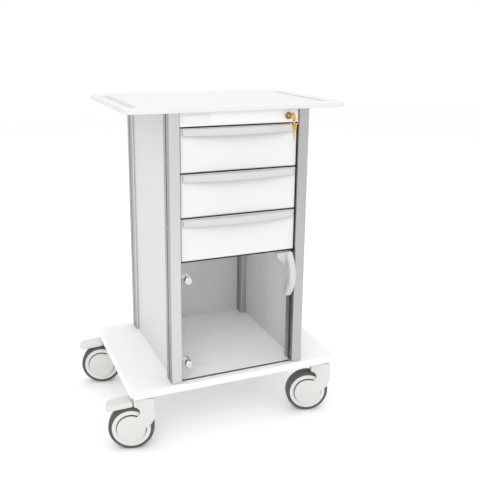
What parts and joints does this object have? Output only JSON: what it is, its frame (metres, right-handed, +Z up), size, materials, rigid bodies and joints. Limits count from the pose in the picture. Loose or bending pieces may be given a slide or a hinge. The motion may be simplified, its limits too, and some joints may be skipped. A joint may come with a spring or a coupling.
{
  "type": "mobile bedside cabinet",
  "caption": "Mobile bedside cabinet on a wide wheeled base: drawers with bowed pulls over a clear-doored compartment, worktop with hand slots, keyed lock.",
  "frame": {"origin": "middle of the whole cart's footprint, wheels, brake pedals and key included, on the floor", "axes": "+Z up; the drawers and the door face -Y; +X is to the right of a person facing the front"},
  "size_m": [0.6813, 0.4922, 0.921],
  "materials": {
    "worktop_white": "moulded white worktop, satin with a fine texture",
    "base_white": "moulded white base plate, satin",
    "post_aluminium": "satin anodised aluminium extrusion",
    "panel_grey_white": "pale grey sheet plastic, fine grain",
    "front_white": "glossy white moulded front",
    "badge_grey": "plain pale grey plastic, no marking",
    "pull_grey": "warm pale grey moulded plastic",
    "drawer_box_grey": "pale grey moulded plastic tray",
    "slide_steel": "zinc plated steel slide",
    "hinge_chrome": "polished chrome",
    "clear_acrylic": "clear acrylic sheet",
    "lock_bronze": "bronze coloured cam lock",
    "key_brass": "bright brass",
    "zinc_steel": "zinc plated steel",
    "caster_grey": "warm pale grey moulded nylon",
    "rim_grey": "near white moulded wheel",
    "tyre_grey": "dark grey non-marking rubber"
  },
  "bodies": {
    "cabinet": {"worktop": "worktop_white", "base_plate": "base_white", "post_front_left": "post_aluminium", "post_front_right": "post_aluminium", "post_back_left": "post_aluminium", "post_back_right": "post_aluminium", "side_panel_left": "panel_grey_white", "side_panel_right": "panel_grey_white", "back_panel": "panel_grey_white", "divider_shelf": "panel_grey_white", "fascia": "front_white", "badge_plate": "badge_grey", "lock_barrel": "lock_bronze", "slide_bracket_left": "slide_steel", "slide_bracket_right": "slide_steel", "hinge_arm_upper": "hinge_chrome", "hinge_arm_lower": "hinge_chrome", "door_catch": "badge_grey", "caster_stem_front_left": "zinc_steel", "caster_stem_front_right": "zinc_steel", "caster_stem_back_left": "zinc_steel", "caster_stem_back_right": "zinc_steel"},
    "drawer_top": {"drawer_front_top": "front_white", "drawer_pull_top": "pull_grey", "drawer_box_top": "drawer_box_grey", "drawer_runner_top_left": "slide_steel", "drawer_runner_top_right": "slide_steel"},
    "drawer_middle": {"drawer_front_middle": "front_white", "drawer_pull_middle": "pull_grey", "drawer_box_middle": "drawer_box_grey", "drawer_runner_middle_left": "slide_steel", "drawer_runner_middle_right": "slide_steel"},
    "drawer_bottom": {"drawer_front_bottom": "front_white", "drawer_pull_bottom": "pull_grey", "drawer_box_bottom": "drawer_box_grey", "drawer_runner_bottom_left": "slide_steel", "drawer_runner_bottom_right": "slide_steel"},
    "door": {"door_panel": "clear_acrylic", "door_pull": "pull_grey", "hinge_cap_upper": "hinge_chrome", "hinge_cap_lower": "hinge_chrome"},
    "lock_plug": {"lock_plug": "lock_bronze", "lock_cam": "zinc_steel", "key": "key_brass"},
    "caster_front_left": {"caster_fork_front_left": "caster_grey"},
    "wheel_front_left": {"caster_wheel_front_left": "rim_grey", "caster_tyre_front_left": "tyre_grey"},
    "caster_front_right": {"caster_fork_front_right": "caster_grey"},
    "wheel_front_right": {"caster_wheel_front_right": "rim_grey", "caster_tyre_front_right": "tyre_grey"},
    "caster_back_left": {"caster_fork_back_left": "caster_grey"},
    "wheel_back_left": {"caster_wheel_back_left": "rim_grey", "caster_tyre_back_left": "tyre_grey"},
    "caster_back_right": {"caster_fork_back_right": "caster_grey"},
    "wheel_back_right": {"caster_wheel_back_right": "rim_grey", "caster_tyre_back_right": "tyre_grey"},
    "pedal_front_left": {"brake_pedal_front_left": "caster_grey"},
    "pedal_back_left": {"brake_pedal_back_left": "caster_grey"}
  },
  "joints": [
    {"name": "drawer_top_slide", "type": "slide", "parent": "cabinet", "child": "drawer_top", "axis": [0, -1, 0], "range_m": [0, 0.3]},
    {"name": "drawer_middle_slide", "type": "slide", "parent": "cabinet", "child": "drawer_middle", "axis": [0, -1, 0], "range_m": [0, 0.3]},
    {"name": "drawer_bottom_slide", "type": "slide", "parent": "cabinet", "child": "drawer_bottom", "axis": [0, -1, 0], "range_m": [0, 0.3]},
    {"name": "door_swing", "type": "hinge", "parent": "cabinet", "child": "door", "pos_m": [-0.11574, -0.19462, 0.3467], "axis": [0, 0, -1], "range_deg": [0, 90]},
    {"name": "key_turn", "type": "hinge", "parent": "cabinet", "child": "lock_plug", "pos_m": [0.16476, -0.20962, 0.889], "axis": [0, -1, 0], "range_deg": [0, 90]},
    {"name": "swivel_front_left", "type": "hinge", "parent": "cabinet", "child": "caster_front_left", "pos_m": [-0.23774, -0.19112, 0.1537], "axis": [0, 0, 1], "continuous": true},
    {"name": "wheel_spin_front_left", "type": "hinge", "parent": "caster_front_left", "child": "wheel_front_left", "pos_m": [-0.27265, -0.18045, 0.0625], "axis": [0.2924, 0.9563, 0], "continuous": true},
    {"name": "brake_press_front_left", "type": "hinge", "parent": "caster_front_left", "child": "pedal_front_left", "pos_m": [-0.25687, -0.18527, 0.1397], "axis": [-0.2924, -0.9563, 0], "range_deg": [0, 4]},
    {"name": "swivel_front_right", "type": "hinge", "parent": "cabinet", "child": "caster_front_right", "pos_m": [0.29726, -0.19112, 0.1537], "axis": [0, 0, 1], "continuous": true},
    {"name": "wheel_spin_front_right", "type": "hinge", "parent": "caster_front_right", "child": "wheel_front_right", "pos_m": [0.26235, -0.18045, 0.0625], "axis": [0.2924, 0.9563, 0], "continuous": true},
    {"name": "swivel_back_left", "type": "hinge", "parent": "cabinet", "child": "caster_back_left", "pos_m": [-0.23774, 0.19788, 0.1537], "axis": [0, 0, 1], "continuous": true},
    {"name": "wheel_spin_back_left", "type": "hinge", "parent": "caster_back_left", "child": "wheel_back_left", "pos_m": [-0.27265, 0.20855, 0.0625], "axis": [0.2924, 0.9563, 0], "continuous": true},
    {"name": "brake_press_back_left", "type": "hinge", "parent": "caster_back_left", "child": "pedal_back_left", "pos_m": [-0.25687, 0.20373, 0.1397], "axis": [-0.2924, -0.9563, 0], "range_deg": [0, 4]},
    {"name": "swivel_back_right", "type": "hinge", "parent": "cabinet", "child": "caster_back_right", "pos_m": [0.29726, 0.19788, 0.1537], "axis": [0, 0, 1], "continuous": true},
    {"name": "wheel_spin_back_right", "type": "hinge", "parent": "caster_back_right", "child": "wheel_back_right", "pos_m": [0.26235, 0.20855, 0.0625], "axis": [0.2924, 0.9563, 0], "continuous": true}
  ]
}
